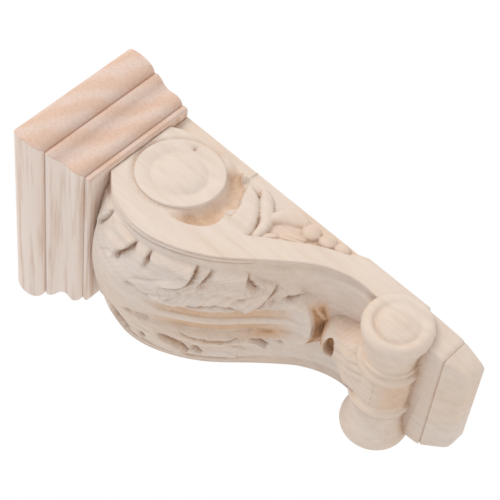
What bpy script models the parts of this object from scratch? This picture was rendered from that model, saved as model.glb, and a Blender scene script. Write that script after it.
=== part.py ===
"""Carved wooden corbel: a scroll bracket with acanthus leaves under a moulded cap.

Lengths in this file are millimetres and are turned into metres when a mesh is made.
The wall plane is y = 0, the front faces -Y, Z is up, and the origin lies on the
flat back at half height. The two sides mirror each other in x = 0.
"""
import math

import bmesh
import bpy
import numpy as np
from mathutils import Vector

MM = 0.001

# Whole corbel
HEIGHT = 200.0
TOP = HEIGHT / 2
BOTTOM = -HEIGHT / 2

# Cap: a block moulded on its front and both sides, glued on the scroll
CAP_HEIGHT = 36.0
CAP_HALF_WIDTH = 53.0
CAP_DEPTH = 67.8
GLUE_GAP = 0.3
# Inset from the widest point, and drop from the top
CAP_PROFILE = (
    (4.4, 0.0), (2.2, 1.0), (0.7, 3.0), (0.0, 7.2), (0.3, 10.6), (1.1, 13.4), (2.5, 15.2),
    (5.0, 16.3), (4.2, 17.1), (4.2, 18.7), (5.4, 20.3), (7.3, 22.0), (8.3, 24.6),
    (8.0, 27.4), (8.1, 29.6), (8.9, 31.4), (10.1, 32.3), (11.5, 33.0), (10.7, 33.6),
    (10.8, 35.2), (12.0, CAP_HEIGHT),
)

# Scroll: half width under the cap, and how much each side draws in per millimetre of drop
SCROLL_TOP = TOP - CAP_HEIGHT - GLUE_GAP
SCROLL_HALF_WIDTH = 39.8
SIDE_TAPER = 0.03
SCROLL_FOOT = -70.0
FRONT_CURVE = (
    (-45.5, SCROLL_TOP), (-53.3, 53.2), (-57.5, 38.5), (-54.8, 22.9), (-45.2, 5.4),
    (-28.1, -13.0), (-16.8, -26.8), (-11.6, -41.0), (-12.0, -55.0), (-13.5, SCROLL_FOOT),
)
TOP_BLEND = 12.0

# Side face: a flat band along the front edge, and a sunk panel with leaves behind it
BAND_WIDTH = 12.6
BAND_WIDTH_LOW = 9.0
BAND_RUNS_OUT = 112.0
BAND_STEP = 0.7
PANEL_DEPTH = 2.8
PANEL_START = 10.0
EYE_Y, EYE_Z = -25.4, 43.4
EYE_RADIUS = 18.8
EYE_PROUD = 0.9
# Wall side of the volute: height, y
VOLUTE_BACK = (
    (28.0, -5.6), (34.0, -4.8), (40.0, -4.4), (47.0, -4.5), (52.4, -5.3), (56.6, -6.4), (60.0, -8.2),
    (65.0, -11.2),
)
# Outer edge of the crescent under the eye, from the front round to the wall side
CRESCENT_EDGE = (
    (-47.0, 44.0), (-46.0, 38.0), (-44.6, 33.0), (-41.3, 24.0), (-35.4, 17.2), (-28.4, 16.4), (-22.0, 18.4),
    (-18.2, 16.8), (-13.3, 19.5), (-10.0, 20.9), (-5.4, 28.0), (-4.0, 33.0), (-3.6, 40.0),
)
CRESCENT_DEPTH = 4.4
# Side leaves: level of the crown, and the centre line with half widths
SIDE_LEAVES = (
    (0.5, ((-39.0, 10.0, 4.2), (-30.0, 8.8, 6.2), (-24.0, 9.8, 5.8), (-18.0, 12.0, 4.7), (-13.0, 15.6, 3.9),
           (-9.4, 19.2, 2.0))),
    (-0.2, ((-25.0, 1.6, 2.0), (-17.5, 3.0, 2.8), (-12.3, 7.0, 3.1), (-8.2, 10.8, 3.0), (-5.8, 14.0, 1.8))),
    (-0.5, ((-14.5, 3.0, 1.6), (-10.6, 2.0, 3.0), (-7.4, -0.4, 4.0), (-5.4, -4.4, 3.5), (-5.0, -7.8, 2.2))),
    (-1.9, ((-19.0, -4.6, 1.8), (-15.0, -7.6, 2.6), (-11.6, -11.8, 2.2))),
)
# Buds down the back of the side panel: y, z, radius
BUDS = ((-6.3, -12.4, 4.2), (-5.2, -20.1, 4.0), (-3.9, -26.8, 3.7))
BUD_RISE = 2.9

# Front: rim moulding, and a leaf that swells to a crown between the rims
RIM_WIDTH = 5.6
FIELD_LEVEL = 0.3
CROWN = ((0.0, 7.7), (60.0, 7.9), (72.0, 7.3), (90.0, 5.6), (102.0, 5.0), (110.0, 4.6))
LEAF_EDGE = (
    (0.0, 33.6), (60.0, 32.6), (66.0, 31.0), (78.5, 30.4), (81.5, 26.5), (86.0, 23.6), (93.0, 22.4),
    (102.0, 21.4), (112.0, 20.0),
)
LEAF_STEP = 1.5
# Creases where one lobe ends over the next: points (across, along), fall below, lift above, facing
CREASES = (
    (((17.0, 7.6), (24.0, 11.5), (29.0, 13.2), (34.5, 13.7)), 2.4, 0.8, 1),
    (((15.0, 23.6), (18.0, 24.6), (24.0, 27.6), (30.0, 30.8), (34.5, 31.9)), 3.2, 1.5, 1),
    (((22.0, 37.0), (28.5, 38.0), (34.5, 39.0)), 2.4, 0.9, 1),
    (((15.5, 42.5), (18.8, 49.7), (21.8, 55.0), (27.5, 57.3), (33.5, 58.3)), 3.6, 1.9, 1),
    (((22.5, 60.2), (29.0, 63.8), (32.5, 65.9)), 2.4, 0.8, 1),
    (((20.2, 86.0), (20.9, 82.0), (23.4, 79.4), (26.0, 78.3), (31.0, 79.8)), 2.6, 1.2, 1),
    (((8.6, 78.0), (11.0, 83.6), (15.6, 87.6), (19.3, 89.6), (23.0, 91.2)), 2.6, 1.3, 1),
    (((11.0, 95.4), (14.6, 96.8), (17.4, 103.0), (16.5, 114.0)), 2.6, 1.0, -1),
)
# Hollows cut in the lobes: points, half width, depth
HOLLOWS = (
    (((9.6, 32.6), (9.9, 35.0), (8.8, 40.5)), 1.6, 2.4),
    (((21.0, 43.0), (22.6, 48.0), (24.4, 53.0)), 2.0, 0.8),
    (((20.5, 61.0), (22.4, 67.0), (22.8, 75.0)), 2.0, 0.8),
)
# Channel with the midrib: along, half width, depth, half width of the rib, height of the rib over the floor
CHANNEL = (
    (31.0, 9.8, 0.0, 7.0, 0.0), (36.0, 9.4, 1.6, 5.8, 1.4), (46.0, 8.8, 2.2, 4.2, 1.7),
    (55.0, 8.2, 3.2, 2.6, 1.5), (70.0, 9.2, 3.4, 2.5, 1.3), (82.0, 9.6, 3.2, 2.9, 1.4),
    (96.0, 9.0, 2.8, 3.2, 1.5), (103.0, 7.0, 1.6, 3.6, 1.3), (107.0, 5.0, 0.0, 4.0, 0.0),
)
LIP_MIDDLE, LIP_SWEEP, LIP_HALF, LIP_RISE = 109.0, 8.0, 20.5, 2.3
LIP_WALL, LIP_WALL_WIDE, LIP_WALL_AT = 5.5, 6.0, 8.5
# Curled knob under the lip, flowing into the belt of the roll: along the curve, half width, rise
TONGUE = (
    (113.4, 5.0, 0.0), (115.5, 8.2, 9.6), (117.5, 9.4, 11.2), (121.0, 9.8, 11.6), (125.5, 10.4, 11.2),
    (130.0, 12.5, 12.0), (136.0, 15.5, 14.0),
)
SCOOP_ALONG, SCOOP_HALF_WIDTH, SCOOP_HALF_LENGTH, SCOOP_DEPTH = 119.8, 5.8, 3.3, 5.0

# Roll at the foot of the scroll, turned about an axis along X: radius, distance from the middle
ROLL_Y, ROLL_Z = -15.2, -66.3
ROLL_HALF = (
    (0.0, 39.4), (3.4, 39.2), (6.0, 38.4), (8.2, 38.1), (9.4, 37.2), (10.6, 38.0), (13.0, 37.8),
    (14.5, 36.6), (14.9, 34.8), (14.7, 32.4), (13.9, 30.4), (12.9, 27.4), (11.8, 23.5), (11.4, 20.0),
    (11.6, 17.4), (12.6, 16.3), (12.0, 14.6), (13.6, 12.4), (13.5, 10.8), (12.3, 8.8), (12.3, 0.0),
)

# Neck and foot: height, half width and front of each level, and the corner's chamfer
FOOT_LEVELS = (
    (-58.0, 34.2, -12.0), (-76.0, 33.4, -13.4), (-86.4, 32.4, -13.6), (-88.0, 31.6, -13.6),
    (-88.6, 30.2, -12.3), (-89.2, 31.0, -13.3), (-95.6, 28.4, -10.9), (-98.6, 26.8, -9.8),
    (BOTTOM, 24.8, -8.4),
)
FOOT_CHAMFER = 1.6

# How finely the solids are faceted
STATIONS = 56
SOFTEN_FRONT, SOFTEN_SIDE = 1.2, 1.5
BAND_ROWS = 3
PANEL_ROWS = 14
TURNED_STEPS = 36
ACROSS = (
    0.0, 0.055, 0.11, 0.165, 0.22, 0.28, 0.34, 0.40, 0.46, 0.52, 0.585, 0.65, 0.71, 0.77, 0.83, 0.87, 0.905,
    0.94, 0.975, 1.0,
)


def step(value, low, high):
    """Smooth rise from 0 at low to 1 at high."""
    t = np.clip((value - low) / (high - low), 0.0, 1.0)
    return t * t * (3.0 - 2.0 * t)


def table(value, pairs):
    """Reads a value along a short list of pairs."""
    return np.interp(value, [p[0] for p in pairs], [p[1] for p in pairs])


def columns(value, rows):
    """Reads every further column of a short table along its first one."""
    rows = np.array(rows)
    return [np.interp(value, rows[:, 0], rows[:, k]) for k in range(1, rows.shape[1])]


def spline(points, per_span):
    """Catmull-Rom curve through the points."""
    p = np.array(points, float)
    p = np.vstack([2 * p[0] - p[1], p, 2 * p[-1] - p[-2]])
    t = np.linspace(0.0, 1.0, per_span, endpoint=False)[:, None]
    spans = []
    for i in range(1, len(p) - 2):
        b = (p[i + 1] - p[i - 1]) * t
        c = (2 * p[i - 1] - 5 * p[i] + 4 * p[i + 1] - p[i + 2]) * t * t
        d = (3 * p[i] - p[i - 1] - 3 * p[i + 1] + p[i + 2]) * t ** 3
        spans.append((2 * p[i] + b + c + d) / 2)
    return np.vstack(spans + [p[-2:-1]])


def even_curve(points, count):
    """The curve read at equal lengths, with the length reached at each point."""
    fine = spline(points, 40)
    length = np.concatenate([[0.0], np.cumsum(np.hypot(*np.diff(fine, axis=0).T))])
    along = np.linspace(0.0, length[-1], count)
    return along, np.stack([np.interp(along, length, fine[:, k]) for k in (0, 1)], axis=1)


def outward(curve):
    """Unit normals of the front curve, pointing out of the wood."""
    tangent = np.gradient(curve, axis=0)
    tangent /= np.hypot(tangent[:, 0], tangent[:, 1])[:, None]
    return np.stack([tangent[:, 1], -tangent[:, 0]], axis=1)


def half_width(z):
    return SCROLL_HALF_WIDTH - SIDE_TAPER * (SCROLL_TOP - z)


def line_distance(u, v, points):
    """Distance to a smooth line, on which side of it each place lies, and how far along it."""
    line = spline(points, 4)
    best = np.full(np.shape(u), 1e9)
    side = np.zeros(np.shape(u))
    along = np.zeros(np.shape(u))
    for i, ((u0, v0), (u1, v1)) in enumerate(zip(line, line[1:])):
        du, dv = u1 - u0, v1 - v0
        t = np.clip(((u - u0) * du + (v - v0) * dv) / (du * du + dv * dv), 0.0, 1.0)
        gap = np.hypot(u - u0 - t * du, v - v0 - t * dv)
        turn = du * (v - v0) - dv * (u - u0)
        side = np.where(gap < best, turn, side)
        along = np.where(gap < best, (i + t) / (len(line) - 1), along)
        best = np.minimum(best, gap)
    return best, np.sign(side), along


def petal(u, v, centre_line):
    """Crown of one bent petal, from 0 at its outline to 1 along its centre line."""
    crown = np.zeros(np.shape(u))
    for x, y, width in spline(centre_line, 6):
        crown = np.maximum(crown, 1.0 - ((u - x) ** 2 + (v - y) ** 2) / width ** 2)
    return np.sqrt(np.clip(crown, 0.0, 1.0))


def rim_relief(edge, s):
    """Moulding along the front's edge: a fillet and two beads, with a cove lower down."""
    groove = -0.5 * np.exp(-((edge - 0.8) / 0.4) ** 2)
    upper = 0.3 * np.exp(-((edge - 2.1) / 0.9) ** 2) - 0.9 * np.exp(-((edge - 3.5) / 0.7) ** 2)
    lower = -1.7 * np.sin(np.pi * np.clip((edge - 1.7) / 5.4, 0.0, 1.0))
    low = step(s, 74.0, 90.0)
    return groove + upper * (1 - low) + lower * low


def lobe_edges(a, s):
    """Steps where each lobe of the leaf ends over the next one."""
    height = np.zeros(np.shape(a))
    for points, fall, lift, facing in CREASES:
        gap, side, along = line_distance(a, s, points)
        below = step(gap * side * facing, -1.3, 0.5)
        upper = lift * np.exp(-gap / 5.0)
        lower = -fall * np.exp(-gap / 3.0)
        height += step(along, 0.0, 0.3) * (upper * (1.0 - below) + lower * below)
    return height


def channel(a, s):
    """The channel down the middle of the leaf and the midrib that stands in it."""
    half, depth, rib_half, rib = columns(s, CHANNEL)
    crest = np.sqrt(np.clip(1.0 - (a / rib_half) ** 2, 0.0, 1.0))
    return rib * crest - depth * step(a, half + 0.3, half - 2.8)


def leaf_relief(a, s):
    """The acanthus leaf above the field, with its lobes, channel and hollows."""
    edge = table(s, LEAF_EDGE)
    within = step(edge - a, -0.4, 1.0)
    crown = np.clip(1.0 - (a / edge) ** 2, 0.0, 1.0)
    height = LEAF_STEP * within + (table(s, CROWN) - LEAF_STEP) * crown
    height += within * lobe_edges(a, s) + channel(a, s)
    for points, half, depth in HOLLOWS:
        gap, side, along = line_distance(a, s, points)
        height -= depth * np.exp(-((gap / half) ** 2)) * within
    return height


def softened(relief, u, v, reach):
    """The relief averaged over a few places within reach, so that the facets follow its creases."""
    total = 0.0
    for du, u_weight in ((-reach, 0.25), (0.0, 0.5), (reach, 0.25)):
        for dv, v_weight in ((-reach, 0.25), (0.0, 0.5), (reach, 0.25)):
            total = total + u_weight * v_weight * relief(u + du, v + dv)
    return total


def carving(x, s):
    """Height of the leaf and of the tongue under it over the field, at x across and s along the curve."""
    a = np.abs(x)
    lip_at = LIP_MIDDLE - LIP_SWEEP * (a / LIP_HALF) ** 2
    lip_shape = np.clip(1.0 - (a / (LIP_HALF + 1.0)) ** 4, 0.0, 1.0)
    lip = LIP_RISE * step(s, lip_at - 13.0, lip_at - 1.5) * lip_shape
    wall = LIP_WALL + LIP_WALL_WIDE * np.exp(-((a - LIP_WALL_AT) / 4.5) ** 2)
    wall = 1.0 + (wall - 1.0) * step(a, 18.5, 14.0)
    under = np.clip(1.0 - (s - lip_at) / wall, 0.0, 1.0)
    under *= 1.0 - 0.12 * step(s, lip_at, lip_at + 0.6)
    leaf = (leaf_relief(a, np.minimum(s, lip_at)) + lip) * under
    spread, rise = columns(s, TONGUE)
    tongue = rise * np.sqrt(np.clip(1.0 - (a / (spread + 1.5)) ** 2, 0.0, 1.0))
    scoop = np.hypot(a / SCOOP_HALF_WIDTH, (s - SCOOP_ALONG) / SCOOP_HALF_LENGTH)
    tongue = tongue - SCOOP_DEPTH * step(scoop, 1.15, 0.6)
    return np.maximum(leaf, tongue)


def front_relief(x, s, w):
    """Height of the front over its edge line."""
    edge = w - np.abs(x)
    field = FIELD_LEVEL * step(edge, RIM_WIDTH - 0.6, RIM_WIDTH + 0.6)
    inside = step(edge, RIM_WIDTH - 2.0, RIM_WIDTH + 0.5)
    return rim_relief(edge, s) + field + inside * softened(carving, x, s, SOFTEN_FRONT)


def side_relief(y, z, behind):
    """The side carving as an offset from the band's plane; behind is 1 past the band."""
    return softened(lambda u, v: side_carving(u, v, behind), y, z, SOFTEN_SIDE)


def crescent(y, z):
    """Depth of the crescent cut under the eye, and how far inside it each place lies."""
    ring = np.maximum(np.hypot(y - EYE_Y, z - EYE_Z) - EYE_RADIUS, 0.0)
    gap, side, along = line_distance(y, z, CRESCENT_EDGE)
    ends = step(along, 0.08, 0.22) * step(along, 0.98, 0.86)
    inside = step(gap * side, -0.5, 0.5) * (ends > 0.0)
    t = ring / (ring + gap + 0.01)
    wall = 0.1 + 0.7 * step(y, -27.0, -20.0)
    share = 1.0 - np.where(t < 0.5, 0.6, 1.0 - wall) * (2.0 * t - 1.0) ** 2
    return CRESCENT_DEPTH * share * ends, inside


def side_carving(y, z, behind):
    """The side carving before it is softened."""
    low_panel = behind * step(z, PANEL_START + 1.0, PANEL_START - 1.0)
    back = step(y - table(z, VOLUTE_BACK), -0.3, 0.5) * step(z, 23.0, 24.0)
    under_eye = step(y, -27.0, -24.0) * step(z, 24.5, 23.0) * behind
    ground = -PANEL_DEPTH * np.maximum(np.maximum(low_panel, back), under_eye)
    cut, inside = crescent(y, z)
    for level, centre_line in SIDE_LEAVES:
        crown = petal(y, z, centre_line)
        top = level - (PANEL_DEPTH + level) * (1.0 - crown)
        ground = np.where(crown > 0.0, np.maximum(ground, top), ground)
    depth = ground + inside * (np.minimum(ground, -cut) - ground)
    for bud_y, bud_z, radius in BUDS:
        ball = np.clip(1.0 - ((y - bud_y) ** 2 + (z - bud_z) ** 2) / radius ** 2, 0.0, 1.0)
        depth = np.where(ball > 0, np.maximum(depth, -PANEL_DEPTH + BUD_RISE * np.sqrt(ball)), depth)
    return depth


def scroll_rings():
    """Closed rings of points around the scroll, from under the cap down into the roll."""
    along, curve = even_curve(FRONT_CURVE, STATIONS)
    normal = outward(curve)
    lean = step(along, 0.0, TOP_BLEND)[:, None]
    normal = normal * lean + np.array([[-1.0, 0.0]]) * (1 - lean)
    across = np.array([-f for f in reversed(ACROSS[1:])] + list(ACROSS))
    rings = []
    for s, point, out in zip(along, curve, normal):
        w = half_width(point[1])
        rise = front_relief(across * w, np.full(across.shape, s), w)
        front = [(f * w, point[0] + h * out[0], point[1] + h * out[1]) for f, h in zip(across, rise)]
        wide = BAND_WIDTH + (BAND_WIDTH_LOW - BAND_WIDTH) * step(s, 60.0, BAND_RUNS_OUT)
        inner = point - out * wide
        inner[0] = min(inner[0], 0.25 * point[0])
        back = np.array([0.0, SCROLL_TOP + (SCROLL_FOOT - SCROLL_TOP) * s / along[-1]])
        share = np.linspace(0.0, 1.0, BAND_ROWS)[1:, None]
        band = point + (inner - point) * share
        reach = back - inner
        first = BAND_STEP / max(np.hypot(*reach), 2.0)
        share = np.linspace(first, 1.0, PANEL_ROWS)[:, None]
        panel = inner + reach * share
        yz = np.vstack([band, panel])
        behind = np.concatenate([np.zeros(len(band)), np.ones(len(panel))])
        behind *= step(s, BAND_RUNS_OUT + 4.0, BAND_RUNS_OUT - 4.0)
        x = half_width(yz[:, 1]) + side_relief(yz[:, 0], yz[:, 1], behind)
        right = [(a, b, c) for a, (b, c) in zip(x, yz)]
        left = [(-a, b, c) for a, b, c in reversed(right)]
        rings.append(left + front + right)
    return rings


def loft(name, rings):
    """Solid from rings of points, with both ends capped."""
    mesh = bpy.data.meshes.new(name)
    bm = bmesh.new()
    rows = [[bm.verts.new(Vector(p) * MM) for p in ring] for ring in rings]
    count = len(rings[0])
    for upper, lower in zip(rows, rows[1:]):
        for i in range(count):
            j = (i + 1) % count
            bm.faces.new((upper[i], upper[j], lower[j], lower[i]))
    bm.faces.new(rows[0])
    bm.faces.new(list(reversed(rows[-1])))
    bmesh.ops.recalc_face_normals(bm, faces=bm.faces)
    bm.to_mesh(mesh)
    bm.free()
    return bpy.data.objects.new(name, mesh)


def turned(name, profile, centre, tilt=0.0):
    """Solid turned about X from (radius, x) points, widest x first."""
    mesh = bpy.data.meshes.new(name)
    points = [(r * MM, 0.0, x * MM) for r, x in profile]
    mesh.from_pydata(points, [(i, i + 1) for i in range(len(points) - 1)], [])
    obj = bpy.data.objects.new(name, mesh)
    obj.location = Vector(centre) * MM
    obj.rotation_euler = (0.0, math.radians(90.0) + tilt, 0.0)
    screw = obj.modifiers.new("turn", "SCREW")
    screw.steps = TURNED_STEPS
    screw.render_steps = TURNED_STEPS
    screw.use_merge_vertices = True
    screw.merge_threshold = 0.0001
    return obj


def roll():
    """Small roll: a baluster with bulbous ends and a belt round its middle."""
    half = list(ROLL_HALF)
    other = [(r, -x) for r, x in reversed(half[:-1])]
    return turned("roll_tool", half + other, (0.0, ROLL_Y, ROLL_Z))


def eye(side):
    """Ring and button at the middle of the big volute, on one side."""
    base = -8.0
    profile = [
        (0.0, 1.8), (5.0, 1.6), (8.5, 1.1), (10.8, 0.3), (12.4, -0.6), (14.8, 0.3), (17.4, EYE_PROUD),
        (EYE_RADIUS, 0.2), (EYE_RADIUS, base), (0.0, base),
    ]
    centre = (side * half_width(EYE_Z), EYE_Y, EYE_Z)
    tilt = -math.atan(SIDE_TAPER)
    obj = turned("eye_tool", profile, centre, tilt)
    if side < 0:
        obj.rotation_euler = (0.0, math.radians(-90.0) - tilt, 0.0)
    return obj


def foot():
    """Neck and foot: a tapered block with a cut line round it."""
    rings = []
    for z, half, front in FOOT_LEVELS:
        c = FOOT_CHAMFER
        right = [(half - c, front, z), (half, front + c, z), (half, 0.0, z)]
        left = [(-x, y, z) for x, y, z in reversed(right)]
        rings.append(right + left)
    return loft("foot_tool", rings)


def cap():
    """Moulded block, mitred at its front corners and flat behind and on top."""
    rings = []
    for inset, drop in CAP_PROFILE:
        x = CAP_HALF_WIDTH - inset
        y = -(CAP_DEPTH - inset)
        z = TOP - drop
        rings.append([(x, y, z), (x, 0.0, z), (-x, 0.0, z), (-x, y, z)])
    return loft("top_cap", rings)


def material(name, colour, roughness):
    mat = bpy.data.materials.new(name)
    mat.use_nodes = True
    shader = mat.node_tree.nodes["Principled BSDF"]
    shader.inputs["Base Color"].default_value = (*colour, 1.0)
    shader.inputs["Roughness"].default_value = roughness
    shader.inputs["Metallic"].default_value = 0.0
    return mat


def collection(name):
    made = bpy.data.collections.new(name)
    bpy.context.scene.collection.children.link(made)
    return made


def join_tool(target, tool, tools):
    """Joins a tool solid to the target, and keeps the tool out of the part."""
    tools.objects.link(tool)
    tool.hide_render = True
    tool.display_type = "WIRE"
    union = target.modifiers.new(tool.name, "BOOLEAN")
    union.operation = "UNION"
    union.solver = "EXACT"
    union.object = tool


def main():
    for obj in list(bpy.data.objects):
        bpy.data.objects.remove(obj)
    parts = collection("carved_corbel")
    tools = collection("carving_tools")

    body = loft("carved_scroll", scroll_rings())
    parts.objects.link(body)
    body.data.materials.append(material("pale_wood", (0.66, 0.52, 0.40), 0.62))
    for tool in (foot(), roll(), eye(1), eye(-1)):
        join_tool(body, tool, tools)
    body.data.shade_smooth()
    body.data.set_sharp_from_angle(angle=math.radians(35.0))

    block = cap()
    parts.objects.link(block)
    block.data.materials.append(material("cap_wood", (0.60, 0.43, 0.33), 0.58))


main()
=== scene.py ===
"""Looks for the carved wooden corbel: fine carving, bare wood, soft studio light.

Lengths are millimetres until a mesh is made. The wall plane is y = 0, the front faces -Y
and the side seen by the camera is +X. The two sides mirror each other in x = 0, apart from
the chip on the +X eye and the stain beside the flute on the -X side.
"""
import math

import bmesh
import bpy
import numpy as np
from mathutils import Matrix, Vector
from mathutils.bvhtree import BVHTree

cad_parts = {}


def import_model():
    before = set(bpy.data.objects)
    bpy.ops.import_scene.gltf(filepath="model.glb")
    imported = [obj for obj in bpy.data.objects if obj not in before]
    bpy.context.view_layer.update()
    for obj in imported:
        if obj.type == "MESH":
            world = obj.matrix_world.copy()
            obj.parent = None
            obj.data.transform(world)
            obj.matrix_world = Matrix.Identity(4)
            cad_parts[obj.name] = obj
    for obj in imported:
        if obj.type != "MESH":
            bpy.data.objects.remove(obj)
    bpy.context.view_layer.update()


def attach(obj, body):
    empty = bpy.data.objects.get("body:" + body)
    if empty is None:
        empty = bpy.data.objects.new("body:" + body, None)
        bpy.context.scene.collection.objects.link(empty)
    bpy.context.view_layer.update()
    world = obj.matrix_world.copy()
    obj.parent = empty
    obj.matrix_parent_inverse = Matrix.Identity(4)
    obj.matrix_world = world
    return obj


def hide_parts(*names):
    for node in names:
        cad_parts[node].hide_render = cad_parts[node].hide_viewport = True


MM = 0.001

HEIGHT = 200.0
TOP = HEIGHT / 2
BOTTOM = -HEIGHT / 2

# Cap
CAP_HEIGHT = 36.0
CAP_HALF_WIDTH = 53.0
CAP_DEPTH = 67.8
GLUE_GAP = 0.3
# Runs of inset from the widest point and drop from the top, each run curved and met at a sharp line
CAP_RUNS = (
    ((5.6, 0.0), (3.6, 0.2), (2.1, 1.1), (0.7, 3.2), (0.05, 7.2), (0.3, 10.6), (1.1, 13.4), (2.5, 15.2),
     (4.9, 16.3)),
    ((4.9, 16.3), (4.3, 17.0), (4.1, 17.9), (4.4, 18.8)),
    ((4.4, 18.8), (5.4, 20.3), (7.2, 22.0), (8.3, 24.6), (8.1, 27.4), (8.0, 29.6), (8.8, 31.4),
     (10.1, 32.4)),
    ((10.1, 32.4), (11.4, 33.0), (10.9, 33.4)),
    ((10.9, 33.4), (10.8, 35.2)),
    ((10.8, 35.2), (12.0, CAP_HEIGHT)),
)
# Small flat at the mitred corners, and how many points run along the front and along each end
CAP_CORNER = 0.35
CAP_FRONT_POINTS, CAP_END_POINTS = 60, 40

# Scroll
SCROLL_TOP = TOP - CAP_HEIGHT - GLUE_GAP
SCROLL_HALF_WIDTH = 39.8
SIDE_TAPER = 0.03
SCROLL_FOOT = -70.0
FRONT_CURVE = (
    (-45.5, SCROLL_TOP), (-53.3, 53.2), (-57.5, 38.5), (-54.8, 22.9), (-45.2, 5.4),
    (-28.1, -13.0), (-16.8, -26.8), (-11.6, -41.0), (-12.0, -55.0), (-13.5, SCROLL_FOOT),
)
# Length under the cap over which the front's normals turn from level to square on the curve
TOP_BLEND = 12.0
EDGE_ROUND = 0.4

# Side face: a flat band follows the front edge, and the panel behind it is sunk
BAND_WIDTH = 12.6
BAND_WIDTH_LOW = 9.0
BAND_RUNS_OUT = 112.0
BAND_STEP = 0.7
PANEL_DEPTH = 2.8
PANEL_START = 10.0
EYE_Y, EYE_Z = -25.4, 43.4
EYE_RADIUS = 18.8
EYE_PROUD = 0.9
# The ring is a little long down the volute and short across it
EYE_LONG, EYE_SHORT = 1.02, 0.945
EYE_TURN = math.radians(-47.0)
# The side face is cut back under the eye, which fills the space again
EYE_WELL = -3.0
# Ring and button of the eye: radius, and how far it stands out of the side face
EYE_RINGS = (
    (1.2, 1.8), (5.0, 1.6), (7.9, 1.1), (9.9, 0.3), (11.0, -0.3), (11.8, -0.5), (12.6, -0.3), (14.4, 0.3),
    (16.8, EYE_PROUD - 0.1), (18.1, EYE_PROUD), (18.6, EYE_PROUD - 0.5), (EYE_RADIUS, -0.7),
)
# How deep in the wood the eye begins
EYE_BASE = -8.0
EYE_CHIP_Y, EYE_CHIP_Z = -11.6, 48.2
EYE_CHIP_LONG, EYE_CHIP_HIGH, EYE_CHIP_DEPTH = 1.2, 0.8, 1.9
# Edge of the volute on the wall side, as height and y
VOLUTE_BACK = (
    (28.0, -5.6), (34.0, -4.8), (40.0, -4.4), (47.0, -4.5), (52.4, -5.3), (56.6, -6.4), (60.0, -8.2),
    (65.0, -11.2),
)
# Outer edge of the crescent under the eye, from the front round to the wall side
CRESCENT_EDGE = (
    (-47.0, 44.0), (-46.0, 38.0), (-44.6, 33.0), (-43.0, 28.0), (-41.3, 24.0), (-38.8, 20.0), (-35.4, 17.2),
    (-31.6, 16.0), (-28.4, 16.4), (-25.1, 17.8), (-22.0, 18.4), (-20.2, 17.2), (-18.2, 16.8), (-16.2, 18.2),
    (-13.3, 19.5), (-10.0, 20.9), (-8.6, 24.0), (-5.4, 28.0), (-4.0, 33.0), (-3.6, 40.0),
)
CRESCENT_DEPTH = 4.4
# The crescent's outer wall is sloped in front of the first y and steeper behind the second
CRESCENT_SLOPED, CRESCENT_STEEP = -27.0, -20.0
# Side leaves: centre line with half widths, level of the crown, depth of the veins
SIDE_LEAVES = (
    (((-39.0, 10.0, 4.2), (-30.0, 8.8, 6.2), (-24.0, 9.8, 5.8), (-18.0, 12.0, 4.7), (-13.0, 15.6, 3.9),
      (-9.4, 19.2, 2.0)), 0.5, 0.0),
    (((-25.0, 1.6, 2.0), (-17.5, 3.0, 2.8), (-12.3, 7.0, 3.1), (-8.2, 10.8, 3.0), (-5.8, 14.0, 1.8)),
     -0.2, 0.0),
    (((-14.5, 3.0, 1.6), (-10.6, 2.0, 3.0), (-7.4, -0.4, 4.0), (-5.4, -4.4, 3.5), (-5.0, -7.8, 2.2)),
     -0.5, 0.0),
    (((-25.0, -1.0, 1.4), (-21.0, -1.8, 2.0), (-18.6, -3.8, 1.5)), -1.2, 0.0),
    (((-19.0, -4.6, 1.8), (-15.0, -7.6, 2.6), (-11.6, -11.8, 2.2)), -1.9, 0.3),
)
# Distance from vein to vein on the side leaves
SIDE_VEIN_PITCH = 1.9
# Round buds under the leaves: y, z, radius
BUDS = ((-6.3, -12.4, 4.2), (-5.2, -20.1, 4.0), (-3.9, -26.8, 3.7))
BUD_RISE = 2.5

# Front
RIM_WIDTH = 5.6
# A groove, a bead and a line along the front's edge: distance in from it, half width, height
RIM_GROOVE, RIM_BEAD, RIM_LINE = (1.2, 0.5, -0.8), (2.2, 0.8, 0.3), (3.6, 0.5, -1.2)
# Lower down a cove takes the place of the bead and the line
COVE_START, COVE_WIDTH, COVE_DEPTH = 1.7, 5.4, 1.7
COVE_FROM, COVE_FULL = 74.0, 90.0
FIELD_LEVEL = 0.3
# Height and half width of the leaf, each read along the curve
CROWN = ((0.0, 7.7), (60.0, 7.9), (72.0, 7.3), (90.0, 5.6), (102.0, 5.0), (110.0, 4.6))
LEAF_EDGE = (
    (0.0, 32.4), (60.0, 31.3), (66.0, 30.2), (78.5, 29.7), (81.5, 26.3), (86.0, 23.6), (93.0, 22.4),
    (102.0, 21.4), (112.0, 20.0),
)
LEAF_STEP = 1.5
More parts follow.
